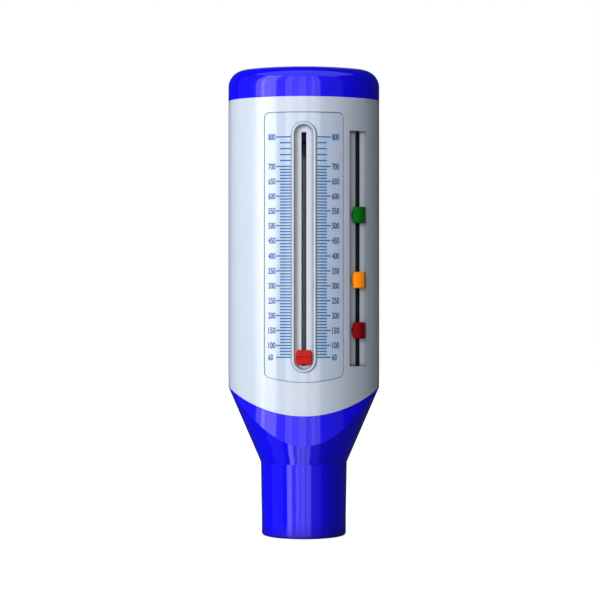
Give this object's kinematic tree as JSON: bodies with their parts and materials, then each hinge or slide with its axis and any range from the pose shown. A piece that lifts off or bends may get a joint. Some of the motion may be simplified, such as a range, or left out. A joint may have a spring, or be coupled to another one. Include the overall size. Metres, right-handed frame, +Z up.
{
  "type": "peak flow meter",
  "caption": "Handheld oval peak flow meter with a round mouthpiece, a sprung piston, a front scale with a sliding pointer and sliding zone markers in a side pocket.",
  "frame": {"origin": "centre of the mouthpiece's open end plane, on which the meter can stand", "axes": "+Z up along the meter's length from the mouthpiece to the cap, -Y out of the face with the scale, +X to the reader's right, the side with the zone markers"},
  "size_m": [0.05, 0.0345, 0.1537],
  "materials": {
    "white_shell": "moulded white ABS with a soft gloss",
    "printed_scale": "glossy printed scale with blue graduations and numbers",
    "blue_plastic": "moulded royal blue, glossy",
    "black_barrel": "moulded black, satin",
    "piston_plastic": "thin moulding, satin",
    "bush_plastic": "low-friction plastic",
    "rod_steel": "drawn stainless wire",
    "grey_plastic": "moulded grey",
    "spring_steel": "spring wire and strip",
    "soft_rubber": "soft matt rubber",
    "black_plastic": "moulded black",
    "pointer_red": "moulded red",
    "green_plastic": "moulded dark green",
    "amber_plastic": "moulded amber",
    "red_plastic": "moulded dark red"
  },
  "bodies": {
    "case": {"housing": "white_shell", "scale_plate": "printed_scale", "end_cap": "blue_plastic", "mouthpiece": "blue_plastic", "measuring_tube": "black_barrel", "guide_rod": "rod_steel", "rod_spider": "grey_plastic", "rod_retainer": "spring_steel", "return_spring": "spring_steel", "end_bumper": "soft_rubber", "marker_track": "black_plastic"},
    "piston_group": {"piston": "piston_plastic", "piston_bush": "bush_plastic"},
    "pointer_group": {"pointer": "pointer_red", "pointer_shoe": "black_plastic", "pointer_spring": "spring_steel"},
    "green_zone": {"green_marker": "green_plastic", "green_marker_clip": "black_plastic"},
    "amber_zone": {"amber_marker": "amber_plastic", "amber_marker_clip": "black_plastic"},
    "red_zone": {"red_marker": "red_plastic", "red_marker_clip": "black_plastic"}
  },
  "joints": [
    {"name": "piston_slide", "type": "slide", "parent": "case", "child": "piston_group", "axis": [0, 0, 1], "range_m": [0, 0.07119], "stiffness_N_per_m": 6, "springref_m": -0.02, "deforming": ["return_spring"]},
    {"name": "pointer_slide", "type": "slide", "parent": "case", "child": "pointer_group", "axis": [0, 0, 1], "range_m": [0, 0.07119]},
    {"name": "green_marker_slide", "type": "slide", "parent": "case", "child": "green_zone", "axis": [0, 0, 1], "range_m": [-0.00778, 0.02432]},
    {"name": "amber_marker_slide", "type": "slide", "parent": "case", "child": "amber_zone", "axis": [0, 0, 1], "range_m": [-0.00538, 0.00778]},
    {"name": "red_marker_slide", "type": "slide", "parent": "case", "child": "red_zone", "axis": [0, 0, 1], "range_m": [-0.00872, 0.00538]}
  ],
  "couplings": [
    {"joint": "pointer_slide", "follows": "piston_slide", "ratio": 1}
  ]
}
